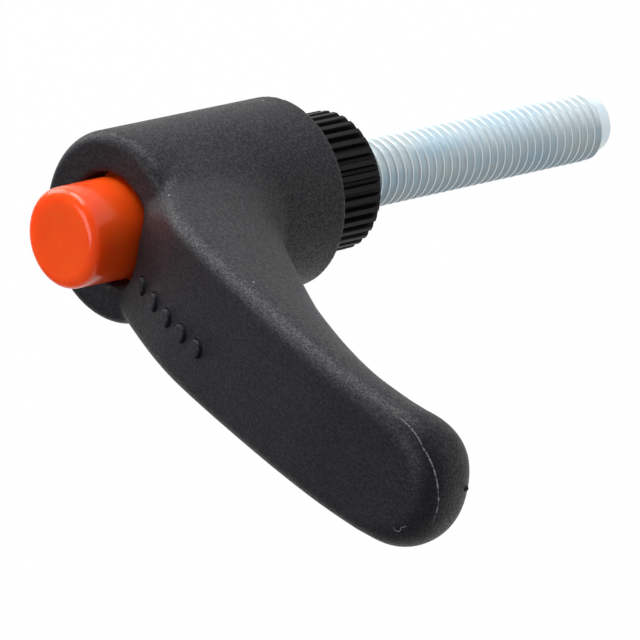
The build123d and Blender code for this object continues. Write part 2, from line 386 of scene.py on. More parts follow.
@dataclass(frozen=True)
class OrangePlastic:
    """Glossy orange plastic with the faint waviness of a moulded face."""

    colour: Colour = (0.96, 0.078, 0.005)
    deep: Colour = (0.90, 0.062, 0.004)
    roughness: float = 0.20
    shine: float = 0.4
    glow: float = 0.7
    glow_colour: Colour = (1.0, 0.08, 0.03)
    glow_depth: float = 0.006
    cloud_mm: float = 5.0
    fine_mm: float = 0.35

    def material(self) -> bpy.types.Material:
        """Build the material.

        Returns:
            The finished material.
        """
        tree = ShaderTree(bpy.data.materials.new("orange_plastic"))
        place = tree.place()
        clouds = tree.noise(place, self.cloud_mm, 2.0)
        fine = tree.noise(place, self.fine_mm, 2.0)
        base = tree.mix(tree.ramp(clouds, [(0.3, 0.0), (0.7, 1.0)]), self.colour, self.deep)
        rough = self.roughness + (fine - 0.5) * 0.05 + (clouds - 0.5) * 0.05
        normal = tree.bump(clouds, 0.05, 0.35, tree.bump(fine, 0.004, 0.3))
        return tree.surface(
            {
                "Base Color": base,
                "Roughness": rough,
                "Specular IOR Level": self.shine,
                "Subsurface Weight": self.glow,
                "Subsurface Radius": self.glow_colour,
                "Subsurface Scale": self.glow_depth,
                "Normal": normal,
            }
        )


@dataclass(frozen=True)
class ZincPlate:
    """Bright zinc plate with a faint blue cast."""

    colour: Colour = (0.73, 0.82, 0.85)
    blue: Colour = (0.58, 0.75, 0.86)
    dull: Colour = (0.65, 0.70, 0.72)
    roughness: float = 0.34
    metallic: float = 0.45
    cloud_mm: float = 3.2
    patch_mm: float = 4.5
    fine_mm: float = 0.25

    def material(self) -> bpy.types.Material:
        """Build the material.

        Returns:
            The finished material.
        """
        tree = ShaderTree(bpy.data.materials.new("zinc_plate"))
        place = tree.place()
        clouds = tree.noise(place, self.cloud_mm, 3.0, 0.6)
        patches = tree.noise(tree.stretch(place, (1.0, 1.0, 0.35)), self.patch_mm, 2.0)
        fine = tree.noise(tree.stretch(place, (1.0, 1.0, 3.0)), self.fine_mm, 3.0, 0.65)
        base = tree.mix(tree.ramp(patches, [(0.42, 0.0), (0.66, 0.8)]), self.colour, self.blue)
        worn = tree.ramp(fine * 0.6 + clouds * 0.4, [(0.50, 0.0), (0.72, 0.7)])
        base = tree.mix(worn, base, self.dull)
        rough = self.roughness + (fine - 0.5) * 0.18 + (clouds - 0.5) * 0.12
        return tree.surface(
            {
                "Base Color": base,
                "Roughness": rough,
                "Metallic": self.metallic,
                "Normal": tree.bump(fine, 0.02, 0.35),
            }
        )


@dataclass(frozen=True)
class BlackSteel:
    """Blackened steel, with a painted highlight that makes the tooth crests a little paler."""

    colour: Colour = (0.0040, 0.0040, 0.0044)
    crest_highlight_colour: Colour = (0.010, 0.010, 0.0105)
    crest_mm: float = 9.45
    fine_mm: float = 0.18
    roughness: float = 0.42
    shine: float = 0.10

    def material(self) -> bpy.types.Material:
        """Build the material.

        Returns:
            The finished material.
        """
        tree = ShaderTree(bpy.data.materials.new("black_steel"))
        place = tree.place()
        across, along = tree.axis(place, "X"), tree.axis(place, "Y")
        radius = (across * across + along * along) ** 0.5
        fine = tree.noise(place, self.fine_mm, 3.0, 0.6)
        # painted highlight: the colour turns paler towards the tooth crests, by radius
        height = radius * (1 / MM) - self.crest_mm + 0.5 + (fine - 0.5) * 0.5
        base = tree.mix(tree.ramp(height, [(0.45, 0.0), (0.75, 1.0)]), self.colour, self.crest_highlight_colour)
        rough = self.roughness + (fine - 0.5) * 0.2
        return tree.surface(
            {
                "Base Color": base,
                "Roughness": rough,
                "Specular IOR Level": self.shine,
                "Normal": tree.bump(fine, 0.02, 0.3),
            }
        )


@dataclass(frozen=True)
class DrawnWire:
    """Drawn spring wire with fine marks."""

    colour: Colour = (0.42, 0.43, 0.45)
    dark: Colour = (0.26, 0.27, 0.28)
    mark_mm: float = 0.3

    def material(self) -> bpy.types.Material:
        """Build the material.

        Returns:
            The finished material.
        """
        tree = ShaderTree(bpy.data.materials.new("drawn_wire"))
        fine = tree.noise(tree.stretch(tree.place(), (1.0, 1.0, 4.0)), self.mark_mm, 3.0)
        base = tree.mix(tree.ramp(fine, [(0.35, 0.0), (0.65, 1.0)]), self.colour, self.dark)
        return tree.surface(
            {
                "Base Color": base,
                "Roughness": 0.25 + fine * 0.2,
                "Metallic": 1.0,
                "Normal": tree.bump(fine, 0.01, 0.3),
            }
        )


# ---- mesh building -----------------------------------------------------------------------------


def make_piece(
    name: str, points: np.ndarray, faces: Sequence, sharp_deg: float = 40.0
) -> bpy.types.Object:
    """Make a smooth-shaded object from points in millimetres.

    Args:
        name: Name of the piece.
        points: Vertex positions, in millimetres.
        faces: Vertex numbers of each face.
        sharp_deg: Edges that turn more than this stay sharp.

    Returns:
        The new object, linked to the scene.
    """
    mesh = bpy.data.meshes.new(name)
    mesh.from_pydata((np.asarray(points, float) * MM).tolist(), [], [list(map(int, f)) for f in faces])
    mesh.validate()
    work = bmesh.new()
    work.from_mesh(mesh)
    bmesh.ops.remove_doubles(work, verts=work.verts, dist=MERGE_DISTANCE)
    bmesh.ops.dissolve_degenerate(work, edges=work.edges, dist=MERGE_DISTANCE)
    bmesh.ops.recalc_face_normals(work, faces=work.faces)
    work.to_mesh(mesh)
    work.free()
    made = bpy.data.objects.new(name, mesh)
    bpy.context.scene.collection.objects.link(made)
    smooth_shade(made, sharp_deg)
    return made


def smooth_shade(piece: bpy.types.Object, sharp_deg: float) -> None:
    """Shade a piece smooth apart from its sharp edges.

    Args:
        piece: Mesh object to shade.
        sharp_deg: Edges that turn more than this stay sharp.
    """
    mesh = piece.data
    mesh.polygons.foreach_set("use_smooth", [True] * len(mesh.polygons))
    mesh.set_sharp_from_angle(angle=math.radians(sharp_deg))
    mesh.update()


def turned(outline: Sequence[tuple[float, float]], columns: int) -> Grid:
    """Points and faces of a closed outline turned about the Z axis.

    Args:
        outline: Closed loop of (radius, height), in millimetres.
        columns: Number of points around the axis.

    Returns:
        Points and faces.
    """
    angles = np.arange(columns) * 2 * math.pi / columns
    loop = np.array(outline, float)
    radius, height = loop[:, :1], loop[:, 1:]
    level = np.broadcast_to(height, (len(loop), columns))
    points = np.stack([radius * np.cos(angles), radius * np.sin(angles), level], -1)
    return points.reshape(-1, 3), wrapped_faces(len(loop), columns, closed=True)


def wrapped_faces(rows: int, columns: int, closed: bool, rise: int = 0) -> list:
    """Faces of a grid whose columns wrap round.

    Args:
        rows: Number of rows.
        columns: Number of columns.
        closed: Whether the last row joins the first.
        rise: Rows that a row climbs in one turn, for a helix.

    Returns:
        Four vertex numbers for each face.
    """
    faces = []
    for row in range(rows if closed else rows - 1):
        for column in range(columns):
            after = column + 1
            lift = rise if after == columns else 0
            low, high = row, (row + 1) % rows if closed else row + 1
            if high + lift >= rows and lift:
                continue
            faces.append(
                (
                    low * columns + column,
                    (low + lift) * columns + after % columns,
                    (high + lift) * columns + after % columns,
                    high * columns + column,
                )
            )
    return faces


def arc(centre: tuple[float, float], radius: float, start: float, end: float, steps: int) -> list:
    """Points along an arc of an outline.

    Args:
        centre: Centre as (radius, height).
        radius: Arc's radius.
        start: First angle in degrees, from the outward direction.
        end: Last angle in degrees.
        steps: Number of spans.

    Returns:
        Points as (radius, height).
    """
    angles = [math.radians(start + (end - start) * i / steps) for i in range(steps + 1)]
    return [(centre[0] + radius * math.cos(a), centre[1] + radius * math.sin(a)) for a in angles]


def rope(line: np.ndarray, size: np.ndarray) -> Grid:
    """Run a thin six-sided tube along a line.

    Args:
        line: Points of the line.
        size: Radius of the tube at each point.

    Returns:
        The tube's points and faces.
    """
    ahead = np.gradient(line, axis=0)
    outward = np.cross(ahead, [0.0, 0.0, 1.0])
    outward /= np.linalg.norm(outward, axis=1)[:, None]
    sides = 6
    around = np.arange(sides) * 2 * math.pi / sides
    upward = np.array([0.0, 0.0, 1.0]) * np.sin(around)[:, None]
    ring = outward[:, None] * np.cos(around)[:, None] + upward
    points = (line[:, None] + ring * size[:, None, None]).reshape(-1, 3)
    faces = wrapped_faces(len(line), sides, closed=False)
    return points, faces + [list(range(sides)), list(range(len(points) - sides, len(points)))]


def fade_in(value: np.ndarray, start: float, span: float) -> np.ndarray:
    """Share that grows from 0 at a start to 1 a span later."""
    return np.clip((value - start) / span, 0, 1)


def fade_out(value: np.ndarray, end: float, span: float) -> np.ndarray:
    """Share that falls from 1, a span before an end, to 0 at the end."""
    return np.clip((end - value) / span, 0, 1)


def rounded(side: np.ndarray, face: np.ndarray, edge: np.ndarray) -> np.ndarray:
    """Distance outside a corner with a rounded edge.

    Args:
        side: Distance outside the side, plus the edge's radius.
        face: Distance outside the face, plus the edge's radius.
        edge: Radius of the edge.

    Returns:
        The distance, negative inside.
    """
    beyond = np.hypot(np.maximum(side, 0), np.maximum(face, 0))
    return np.minimum(np.maximum(side, face), 0) + beyond - edge


def cut(piece: bpy.types.Object, tool: bpy.types.Object) -> None:
    """Take one closed mesh out of another and delete the tool.

    Args:
        piece: Object to cut.
        tool: Object that is taken out of it.
    """
    modifier = piece.modifiers.new("cut", "BOOLEAN")
    modifier.operation = "DIFFERENCE"
    modifier.solver = "MANIFOLD"
    modifier.object = tool
    bpy.context.view_layer.update()
    evaluated = piece.evaluated_get(bpy.context.evaluated_depsgraph_get())
    mesh = bpy.data.meshes.new_from_object(evaluated)
    piece.modifiers.clear()
    piece.data = mesh
    bpy.data.objects.remove(tool)


@dataclass
class Curve:
    """Smooth curve through points of (x, value), flat beyond its ends."""

    points: Sequence[tuple[float, float]]

    def __call__(self, x: np.ndarray) -> np.ndarray:
        """Value of the curve.

        Args:
            x: Places to look up.

        Returns:
            The value at each place.
        """
        places, values = np.array(self.points, float).T
        count = len(places)
        low = np.maximum(np.arange(count) - 1, 0)
        high = np.minimum(np.arange(count) + 1, count - 1)
        slopes = (values[high] - values[low]) / (places[high] - places[low])
        x = np.clip(x, places[0], places[-1])
        index = np.clip(np.searchsorted(places, x, side="right") - 1, 0, count - 2)
        span = places[index + 1] - places[index]
        t = (x - places[index]) / span
        return (
            (2 * t**3 - 3 * t**2 + 1) * values[index]
            + (t**3 - 2 * t**2 + t) * span * slopes[index]
            + (3 * t**2 - 2 * t**3) * values[index + 1]
            + (t**3 - t**2) * span * slopes[index + 1]
        )


@dataclass
class SkinMesher:
    """Wraps a closed mesh round the zero level of a field."""

    step: float = 0.4
    relax_rounds: int = 3
    longest_move: float = 0.4
    reach: float = 0.02

    def wrap(self, skin: Field, low: Sequence[float], high: Sequence[float]) -> Grid:
        """Mesh the field's zero level.

        Args:
            skin: Field that is negative inside, in millimetres.
            low: Lowest corner of the space to search.
            high: Highest corner of the space to search.

        Returns:
            Points and four-sided faces.
        """
        axes = [np.arange(a, b + self.step, self.step) for a, b in zip(low, high)]
        inside = skin(*np.meshgrid(*axes, indexing="ij")) < 0
        points, faces = self._net(inside, np.array([a[0] for a in axes]))
        points = self._settle(skin, points, 4)
        for _ in range(self.relax_rounds):
            points = self._settle(skin, self._relax(points, faces), 2)
        return points, faces

    def _net(self, inside: np.ndarray, origin: np.ndarray) -> tuple[np.ndarray, np.ndarray]:
        """Put one point in each cell that the surface crosses, and a face across each crossed edge.

        Args:
            inside: Whether each grid point lies inside.
            origin: Place of the first grid point.

        Returns:
            Points and four-sided faces.
        """
        n = inside.shape
        count = sum(
            inside[i : n[0] - 1 + i, j : n[1] - 1 + j, k : n[2] - 1 + k].astype(np.int8)
            for i in (0, 1)
            for j in (0, 1)
            for k in (0, 1)
        )
        crossed = (count > 0) & (count < 8)
        number = np.full(crossed.shape, -1, np.int64)
        number[crossed] = np.arange(crossed.sum())
        points = origin + self.step * (np.argwhere(crossed) + 0.5)
        faces = []
        for axis in range(3):
            first, second = [slice(None)] * 3, [slice(None)] * 3
            first[axis], second[axis] = slice(0, -1), slice(1, None)
            here, there = inside[tuple(first)], inside[tuple(second)]
            for outward, change in ((True, here & ~there), (False, ~here & there)):
                edges = np.argwhere(change)
                corners = []
                for back in ((1, 1), (0, 1), (0, 0), (1, 0)):
                    cell = edges.copy()
                    cell[:, (axis + 1) % 3] -= back[0]
                    cell[:, (axis + 2) % 3] -= back[1]
                    corners.append(number[cell[:, 0], cell[:, 1], cell[:, 2]])
                quads = np.stack(corners, 1)
                faces.append(quads if outward else quads[:, ::-1])
        return points, np.concatenate(faces)

    def _settle(self, skin: Field, points: np.ndarray, rounds: int) -> np.ndarray:
        """Move points along the field's slope onto its zero level.

        Args:
            skin: Field that is negative inside.
            points: Points to move.
            rounds: Number of moves.

        Returns:
            The moved points.
        """
        reach = self.reach
        for _ in range(rounds):
            x, y, z = points.T
            value = skin(x, y, z)
            slope = np.stack(
                [
                    skin(x + reach, y, z) - skin(x - reach, y, z),
                    skin(x, y + reach, z) - skin(x, y - reach, z),
                    skin(x, y, z + reach) - skin(x, y, z - reach),
                ],
                1,
            ) / (2 * reach)
            move = -slope * (value / np.maximum((slope**2).sum(1), 0.05))[:, None]
            length = np.linalg.norm(move, axis=1)
            points = points + move * np.minimum(1, self.longest_move / np.maximum(length, 1e-9))[:, None]
        return points

    @staticmethod
    def _relax(points: np.ndarray, faces: np.ndarray) -> np.ndarray:
        """Move each point halfway to the middle of its neighbours.

        Args:
            points: Points to move.
            faces: Four-sided faces that join them.

        Returns:
            The moved points.
        """
        total, count = np.zeros_like(points), np.zeros(len(points))
        for corner in range(4):
            for other in (1, 3):
                np.add.at(total, faces[:, corner], points[faces[:, (corner + other) % 4]])
                np.add.at(count, faces[:, corner], 1)
        return 0.5 * points + 0.5 * total / count[:, None]


# ---- sub-assemblies ----------------------------------------------------------------------------


@dataclass
class LeverMoulding:
    """Hub and swept arm in one moulding, with its pips and its parting flash."""

    hub_radius: float = 13.2
    hub_bottom: float = 11.3
    hub_top: float = 43.0
    top_round: float = 1.9
    bottom_round: float = 0.35
    reach: float = 80.05
    end_length: float = 9.0
    half_width: float = 10.45
    end_half_width: float = 9.2
    rise: float = 16.48
    depth: float = 11.6
    root_depth: float = 22.0
    fold: float = 4.4
    flare_length: float = 5.0
    root_inset: float = 0.9
    root_soft: float = 3.2
    root_lag: float = 2.6
    end_power: float = 2.25
    belly_power: float = 1.85
    root_power: float = 0.9
    root_fill: float = 38.0
    nose_power: float = 0.35
    nose_fill: float = 1.5
    edge_round: float = 2.2
    end_edge_round: float = 2.7
    nose_round: float = 1.2
    taper_start: float = 0.3
    top_fade: float = 6.0
    soft_along: Span = (15.0, 9.0)
    soft_across: Span = (0.0, 3.0)
    lag_along: Span = (18.0, 10.0)
    lag_across: Span = (2.0, 6.0)
    nose_along: Span = (-12.0, 8.0)
    side_blend: float = 2.2
    fold_blend: float = 1.1
    blend_length: float = 7.0
    least_blend: float = 0.02
    skirt_radius: float = 10.0
    mesh_bottom: float = 17.0
    mesh_radius: float = 9.85
    web_bottom: float = 20.05
    web_top: float = 22.45
    neck_hole_radius: float = 4.33
    bore_radius: float = 7.63
    recess: tuple[float, float, float] = (8.05, 33.9, 39.3)
    mouth: float = 0.9
    skirt_chamfer: float = 0.2
    top_shares: tuple[Span, ...] = (
        (-0.058, -0.18), (0, 0), (0.074, 0.18), (0.233, 0.46),
        (0.472, 0.733), (0.711, 0.94), (0.87, 1), (1, 0.994),
    )
    depth_shares: tuple[Span, ...] = (
        (0, 0), (0.07, -0.26), (0.28, 0.14), (0.51, 0.63), (0.73, 0.98), (0.88, 1.0), (1, 1.0),
    )
    pip_count: int = 5
    pip_radius: float = 1.2
    pip_height: float = 0.5
    pip_edge: float = 0.22
    pip_foot: float = 0.6
    pip_line: float = 0.17
    pip_line_depth: float = 0.25
    pip_start: float = 11.7
    pip_pitch: float = 4.38
    pip_side: float = -2.45
    flash_sweep: Span = (-16.0, 88.0)
    flash_points: int = 147
    flash_inset: tuple = ((-0.3, 0.0, 0.9, 1.6), (0.35, 0.35, 1.0, 0.5))
    flash_gap: float = 0.42
    flash_size: tuple[float, float, float] = (0.03, 0.06, 0.08)
    scratch_place: Span = (75.6, -4.6)
    scratch_tail: Span = (1.3, 0.5)
    scratch_curl: Span = (0.6, 0.8)
    scratch_bend: float = 150.0
    scratch_size: float = 0.05
    nub_place: tuple[float, float, float] = (79.2, 1.0, 52.1)
    nub_way: tuple[float, float, float] = (0.76, -0.10, -0.63)
    nub_outline: tuple[Span, ...] = (
        (0.0, -0.5), (0.55, -0.5), (0.5, 0.05), (0.3, 0.32), (0.12, 0.42), (0.0, 0.44),
    )
    grid_offset: tuple[float, float, float] = (1.37, 1.43, 1.41)
    sharp_deg: float = 35.0
    mesher: SkinMesher = field(default_factory=SkinMesher)

    def __post_init__(self) -> None:
        """Set out the curves of the arm's top face and of its thickness."""
        run, change = self.reach - self.fold, self.depth - self.root_depth
        top = [(self.fold + run * a, self.hub_top + self.rise * b) for a, b in self.top_shares]
        depth = [(self.reach * a, self.root_depth + change * b) for a, b in self.depth_shares]
        self.top, self.thickness = Curve(top), Curve(depth)

    def taper(self, root: float, end: float, x: np.ndarray) -> np.ndarray:
        """Size that changes evenly from the root's to the end's over the outer part of the reach.

        Args:
            root: Size up to the taper's start.
            end: Size at the end of the reach.
            x: Places along the reach.

        Returns:
            The size at each place.
        """
        start = self.taper_start
        return root + (end - root) * np.clip(x / self.reach - start, 0, 1 - start) / (1 - start)

    def half(self, x: np.ndarray, z: np.ndarray) -> np.ndarray:
        """Half width of the arm, flaring into the hub below its top, before its end is rounded.

        Args:
            x: Places along the reach.
            z: Heights.

        Returns:
            The half width at each place.
        """
        span = np.maximum(x, 0) / self.flare_length
        flare = (self.hub_radius - self.root_inset - self.half_width) / (1 + span**2 * (1 + span) / 2)
        straight = self.taper(self.half_width, self.end_half_width, x)
        return straight + flare * fade_out(z, self.hub_top, self.top_fade)

    def edge(self, x: np.ndarray, y: np.ndarray) -> np.ndarray:
        """Radius of the top edge's rounding, softer on the root's +Y side and at the nose.

        Args:
            x: Places along the reach.
            y: Places across the arm.

        Returns:
            The radius at each place.
        """
        steady = self.taper(self.edge_round, self.end_edge_round, x)
        soft = self.root_soft * fade_out(x, *self.soft_along) * fade_in(y, *self.soft_across)
        return steady + soft + self.nose_round * fade_in(x - self.reach, *self.nose_along)

    def past(self, x: np.ndarray) -> np.ndarray:
        """Share of the rounded end that lies behind each place along the reach."""
        return np.maximum(x - (self.reach - self.end_length), 0) / self.end_length

    def plan(self, x: np.ndarray, y: np.ndarray, half: np.ndarray) -> np.ndarray:
        """Share of the arm's outline seen from above, 1 on the outline itself.

        Args:
            x: Places along the reach.
            y: Places across the arm.
            half: Half width at each place.

        Returns:
            The share at each place.
        """
        power = self.end_power
        return (self.past(x) ** power + (np.abs(y) / half) ** power) ** (1 / power)

    def arm_field(self, x: np.ndarray, y: np.ndarray, z: np.ndarray) -> np.ndarray:
        """Rough distance outside the arm.

        Args:
            x: Places along the reach.
            y: Places across the arm.
            z: Heights.

        Returns:
            The distance, negative inside.
        """
        half, edge = self.half(x, z), self.edge(x, y)
        plan = self.plan(x, y, half)
        lag = self.root_lag * fade_in(y, *self.lag_across) * fade_out(x, *self.lag_along)
        side, face = (plan - 1) * half + edge, z - self.top(x - lag) + edge
        belly = self.thickness(x) - edge
        fullness = self.nose_power * np.minimum(1, self.nose_fill * self.past(x))
        power = self.belly_power + fullness + self.root_power * np.clip(1 - x / self.root_fill, 0, 1)
        across, down = plan**power, (np.maximum(-face, 0) / belly) ** power
        scale = (half * across + belly * down) / np.maximum(across + down, 1e-9)
        lower = ((across + down) ** (1 / power) - 1) * scale
        return np.where(face > 0, rounded(side, face, edge), lower)

    def hub_field(self, x: np.ndarray, y: np.ndarray, z: np.ndarray) -> np.ndarray:
        """Distance outside the hub.

        Args:
            x: Places along the reach.
            y: Places across the arm.
            z: Heights.

        Returns:
            The distance, negative inside.
        """
        middle, half = (self.hub_bottom + self.hub_top) / 2, (self.hub_top - self.hub_bottom) / 2
        edge = np.where(z > middle, self.top_round, self.bottom_round)
        return rounded(np.hypot(x, y) - self.hub_radius + edge, np.abs(z - middle) - half + edge, edge)

    def skin(self, x: np.ndarray, y: np.ndarray, z: np.ndarray) -> np.ndarray:
        """Rough distance outside the whole moulding, with soft inner corners.

        Args:
            x: Places along the reach.
            y: Places across the arm.
            z: Heights.

        Returns:
            The distance, negative inside.
        """
        arm = np.maximum(self.arm_field(x, y, z), -x)
        hub = self.hub_field(x, y, z)
        share = fade_out(z, self.hub_top, self.top_fade)
        softness = self.fold_blend + (self.side_blend - self.fold_blend) * share
        blend = np.clip(x / self.blend_length, self.least_blend, 1) * softness
        near = np.maximum(blend - np.abs(arm - hub), 0) / blend
        return np.minimum(arm, hub) - near * near * blend / 4

    def cavity(self) -> bpy.types.Object:
        """Turn the skirt, web hole, bore and bead recess as one tool.

        Returns:
            The tool that is cut out of the moulding.
        """
        low, high = self.hub_bottom - 1, self.hub_top + self.rise + 2
        wide, recess_low, recess_high = self.recess
        outline = [
            (0.0, low),
            (self.skirt_radius + self.skirt_chamfer, low),
            (self.skirt_radius + self.skirt_chamfer, self.hub_bottom),
            (self.skirt_radius, self.hub_bottom + self.skirt_chamfer),
            (self.skirt_radius, self.mesh_bottom),
            (self.mesh_radius, self.mesh_bottom),
            (self.mesh_radius, self.web_bottom),
            (self.neck_hole_radius, self.web_bottom),
            (self.neck_hole_radius, self.web_top),
            (self.bore_radius, self.web_top),
            (self.bore_radius, recess_low),
            (wide, recess_low),
            (wide, recess_high),
            (self.bore_radius, recess_high),
            *arc((self.bore_radius + self.mouth, self.hub_top - self.mouth), self.mouth, 180, 90, 6),
            (self.bore_radius + self.mouth + 0.02, high),
            (0.0, high),
        ]
        return make_piece("cavity_tool", *turned(outline, 128))

    def pip_row(self, name: str, outline: Sequence[tuple[float, float]]) -> bpy.types.Object:
        """Turn an outline at every pip's place, square to the arm's top face.

        Args:
            name: Name of the piece.
            outline: Radius and height of the turned shape.

        Returns:
            One piece with the whole row.
        """
        base, faces = turned(outline, 48)
        points, all_faces = [], []
        for index in range(self.pip_count):
            x = self.pip_start + index * self.pip_pitch
            slope = float(self.top(np.array([x + 0.5]))[0] - self.top(np.array([x - 0.5]))[0])
            turn = np.array(Matrix.Rotation(-math.atan(slope), 3, "Y"))
            foot = np.array([x, self.pip_side, float(self.top(np.array([x]))[0])])
            all_faces += [[v + len(points) * len(base) for v in f] for f in faces]
            points.append(base @ turn.T + foot)
        return make_piece(name, np.concatenate(points), all_faces)

    def pips(self) -> bpy.types.Object:
        """Row of low round pips on the arm's top face.

        Returns:
            The row as one piece.
        """
        rim, top, edge, foot = self.pip_radius, self.pip_height, self.pip_edge, -self.pip_foot
        crown = arc((rim - 0.02 - edge, top - edge), edge, 5, 90, 7)
        return self.pip_row("pips", [(0.0, foot), (rim, foot), (rim, 0.0), *crown, (0.0, top)])

    def pip_seats(self) -> bpy.types.Object:
        """Tool for the fine line around the foot of every pip."""
        rim, floor, above = self.pip_radius + self.pip_line, -self.pip_line_depth, 3 * self.pip_height
        return self.pip_row("pip_seat_tool", [(0.0, floor), (rim, floor), (rim, above), (0.0, above)])

    def lid(self, x: np.ndarray, y: np.ndarray) -> np.ndarray:
        """Height of the arm's upper skin over the nose.

        Args:
            x: Places along the reach.
            y: Places across the arm.

        Returns:
            The height at each place.
        """
        half, edge = self.half(x, self.top(x)), self.edge(x, y)
        beyond = np.maximum((self.plan(x, y, half) - 1) * half + edge, 0)
        return self.top(x) - edge + np.sqrt(np.maximum(edge**2 - beyond**2, 0))

    def flash(self) -> bpy.types.Object:
        """Thin parting flash on the nose's rounding, uneven and broken along its length.

        Returns:
            The flash as one piece.
        """
        turns = np.radians(np.linspace(*self.flash_sweep, self.flash_points))
        x0, share = self.reach - self.end_length, 2 / self.end_power
        cos, sin = np.cos(turns), np.sin(turns)
        inset = np.interp(turns, *self.flash_inset)
        x = x0 + (self.end_length - inset) * cos**share
        y = (self.end_half_width - inset) * np.sign(sin) * np.abs(sin) ** share
        line = np.stack([x, y, self.lid(x, y)], 1)
        noise = np.random.default_rng(7)
        swell = np.convolve(noise.random(len(line)), np.ones(3) / 3, "same")
        thin, thick, swelling = self.flash_size
        size = np.where(swell > self.flash_gap, thick + swelling * swell, thin)
        ends = np.interp(turns, turns[[0, 30, 130, -1]], [0.3, 1, 1, 0.3])
        return make_piece("parting_flash", *rope(line, size * ends))

    def gate_nub(self) -> bpy.types.Object:
        """Small nub left where the moulding's gate was.

        Returns:
            The nub.
        """
        base, faces = turned(self.nub_outline, 20)
        turn = np.array(Vector(self.nub_way).normalized().to_track_quat("Z", "Y").to_matrix())
        return make_piece("gate_nub", base @ turn.T + np.array(self.nub_place), faces)

    def scratch(self) -> bpy.types.Object:
        """Small curled scratch near the nose.

        Returns:
            The scratch as one piece.
        """
        bend = np.radians(np.linspace(0, self.scratch_bend, 20))
        (along, across), (long, wide) = self.scratch_tail, self.scratch_curl
        x = self.scratch_place[0] + np.concatenate([[along], long * np.cos(bend)])
        y = self.scratch_place[1] + np.concatenate([[across], -wide * np.sin(bend)])
        line = np.stack([x, y, self.lid(x, y)], 1)
        return make_piece("curled_scratch", *rope(line, np.full(len(x), self.scratch_size)))

    def build(self) -> list[bpy.types.Object]:
        """Build the moulding and its small pieces.

        Returns:
            The pieces, dressed and riding on the lever.
        """
        h = self.mesher.step
        starts = (-self.hub_radius, -self.hub_radius, self.hub_bottom)
        low = [start - share * h for start, share in zip(starts, self.grid_offset)]
        high = (self.reach + 2 * h, self.hub_radius + 2 * h, self.hub_top + self.rise + 2 * h)
        body = make_piece("lever_moulding", *self.mesher.wrap(self.skin, low, high))
        cut(body, self.cavity())
        cut(body, self.pip_seats())
        smooth_shade(body, self.sharp_deg)
        plastic, whitened_and_highlit = CharcoalPlastic().material(), WHITENED_AND_HIGHLIT_PLASTIC.material()
        # the scratch's paler colour is whitened wear; the flash's paler colour is a painted highlight
        worn = [self.flash(), self.scratch()]
        pieces = [body, self.pips(), self.gate_nub(), *worn]
        for piece in pieces:
            dress(piece, whitened_and_highlit if piece in worn else plastic, Body.LEVER)
        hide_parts("lever_body")
        return pieces


@dataclass
class PushButton:
    """Glossy button with a dished crown, a guide and a snap bead."""

    crown: float = 6.9
    base: float = 7.0
    guide: float = 7.55
    bead: float = 7.9
    top: float = 51.7
    shoulder: float = 39.1
    bottom: float = 35.2
    edge: float = 1.45
    dish: float = 0.25
    wall: float = 1.4
    post: float = 2.3
    post_bottom: float = 38.4
    bead_edge: float = 0.1
    bead_height: float = 0.6
    bead_foot: float = 1.0
    dish_shares: tuple[float, ...] = (0.0, 0.15, 0.3, 0.45, 0.6, 0.75, 0.9)

    def build(self) -> list[bpy.types.Object]:
        """Build the button.

        Returns:
            The button, dressed and riding on its body.
        """
        inner, rim = self.crown - self.wall, self.crown - self.edge
        dish = [(rim * share, self.top - self.dish * (1 - share**2)) for share in self.dish_shares]
        crown_edge = arc((rim, self.top - self.edge), self.edge, 90, 0, 12)
        ceiling = self.top - self.dish - self.wall
        outline = [
            *dish,
            *crown_edge,
            (self.crown + 0.02, self.top - self.edge - 0.4),
            (self.base, self.shoulder + 0.25),
            (self.base, self.shoulder),
            (self.bead - self.bead_edge, self.shoulder),
            (self.bead, self.shoulder - self.bead_edge),
            (self.bead, self.shoulder - self.bead_height),
            (self.guide, self.shoulder - self.bead_foot),
            (self.guide, self.bottom),
            (inner, self.bottom),
            (inner, ceiling),
            (self.post, ceiling),
            (self.post, self.post_bottom),
            (0.0, self.post_bottom),
        ]
        piece = make_piece("button_cap", *turned(outline, 128), sharp_deg=50)
        dress(piece, OrangePlastic().material(), Body.BUTTON)
        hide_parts("push_button")
        return [piece]


